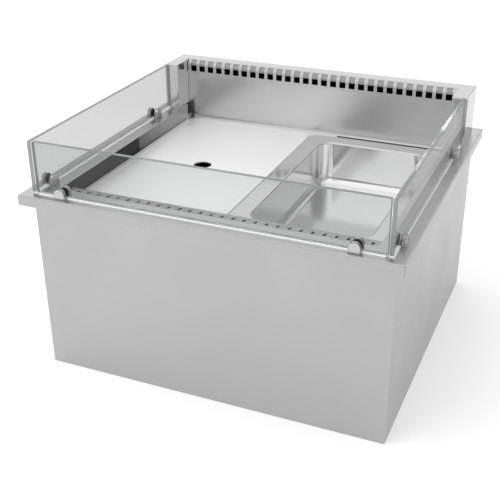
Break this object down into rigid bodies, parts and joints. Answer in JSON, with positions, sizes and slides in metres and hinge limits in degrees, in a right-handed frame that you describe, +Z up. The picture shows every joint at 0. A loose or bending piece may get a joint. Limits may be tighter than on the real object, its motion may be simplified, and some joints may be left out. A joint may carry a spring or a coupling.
{
  "type": "drop-in food well",
  "caption": "Drop-in refrigerated food well with glass guards on three sides, a slotted air outlet at the back, a deep pan and a flat display plate.",
  "frame": {"origin": "middle of the casing's base, under the middle of the flange", "axes": "+Z up, -Y towards the customer side with the front glass, +X to the right seen from the front"},
  "size_m": [0.77, 0.718, 0.508],
  "materials": {
    "casing_sheet": "satin",
    "flange_steel": "satin, fine brushed",
    "hood_steel": "satin, fine brushed",
    "comb_steel": "satin",
    "panel_steel": "satin",
    "polished_steel": "polished, mirror-like",
    "plate_steel": "bright satin",
    "pan_steel": "bright, deep-drawn",
    "tank_steel": "satin",
    "clamp_steel": "polished",
    "fastener_steel": "plain",
    "clear_glass": "clear, polished edges",
    "clear_strip": "clear",
    "black_rubber": "matt",
    "foam": "closed-cell foam",
    "fan_plastic": "fine-grained",
    "black_plastic": "matt",
    "grey_plastic": "matt",
    "fin_aluminium": "bare",
    "copper": "bare copper"
  },
  "bodies": {
    "well": {"casing_wrap": "casing_sheet", "casing_rear_panel": "casing_sheet", "casing_bottom_panel": "casing_sheet", "casing_rivets": "fastener_steel", "insulation_shell": "foam", "inner_tank": "tank_steel", "top_flange": "flange_steel", "hood_shell": "hood_steel", "hood_screws": "fastener_steel", "air_outlet_comb": "comb_steel", "rear_air_panel": "polished_steel", "return_air_panel": "panel_steel", "side_liner_left": "polished_steel", "side_liner_right": "polished_steel", "corner_seals": "black_rubber", "center_bar": "tank_steel", "baffle_deck": "tank_steel", "glass_front": "clear_glass", "glass_left": "clear_glass", "glass_right": "clear_glass", "glass_strips_front": "clear_strip", "glass_strips_side": "clear_strip", "clamp_bodies": "clamp_steel", "clamp_pads": "black_rubber", "clamp_set_screws": "fastener_steel", "clamp_mount_screws": "fastener_steel", "fan_plate": "tank_steel", "fan_frames": "fan_plastic", "fan_guards": "fastener_steel", "fan_screws": "fastener_steel", "evaporator_fins": "fin_aluminium", "evaporator_end_plates": "tank_steel", "evaporator_tubes": "copper", "suction_pipe": "copper", "liquid_pipe": "copper", "drain_spout": "tank_steel", "drain_strainer": "tank_steel", "temperature_probe": "fastener_steel", "probe_clip": "black_plastic", "terminal_box": "grey_plastic", "terminal_box_lid": "grey_plastic", "inner_leads": "black_rubber", "cable_gland": "black_plastic", "pipe_grommets": "black_rubber"},
    "plate": {"display_plate": "plate_steel"},
    "pan": {"food_pan": "pan_steel"},
    "rotor_left": {"fan_rotor_left": "fan_plastic"},
    "rotor_right": {"fan_rotor_right": "fan_plastic"}
  },
  "joints": [
    {"name": "display_plate_lift", "type": "slide", "parent": "well", "child": "plate", "axis": [0, 0, 1], "range_m": [0, 0.16]},
    {"name": "food_pan_lift", "type": "slide", "parent": "well", "child": "pan", "axis": [0, 0, 1], "range_m": [0, 0.26]},
    {"name": "fan_left_spin", "type": "hinge", "parent": "well", "child": "rotor_left", "pos_m": [-0.15, 0.13, 0.1435], "axis": [0, 1, 0], "continuous": true},
    {"name": "fan_right_spin", "type": "hinge", "parent": "well", "child": "rotor_right", "pos_m": [0.15, 0.13, 0.1435], "axis": [0, 1, 0], "continuous": true}
  ]
}
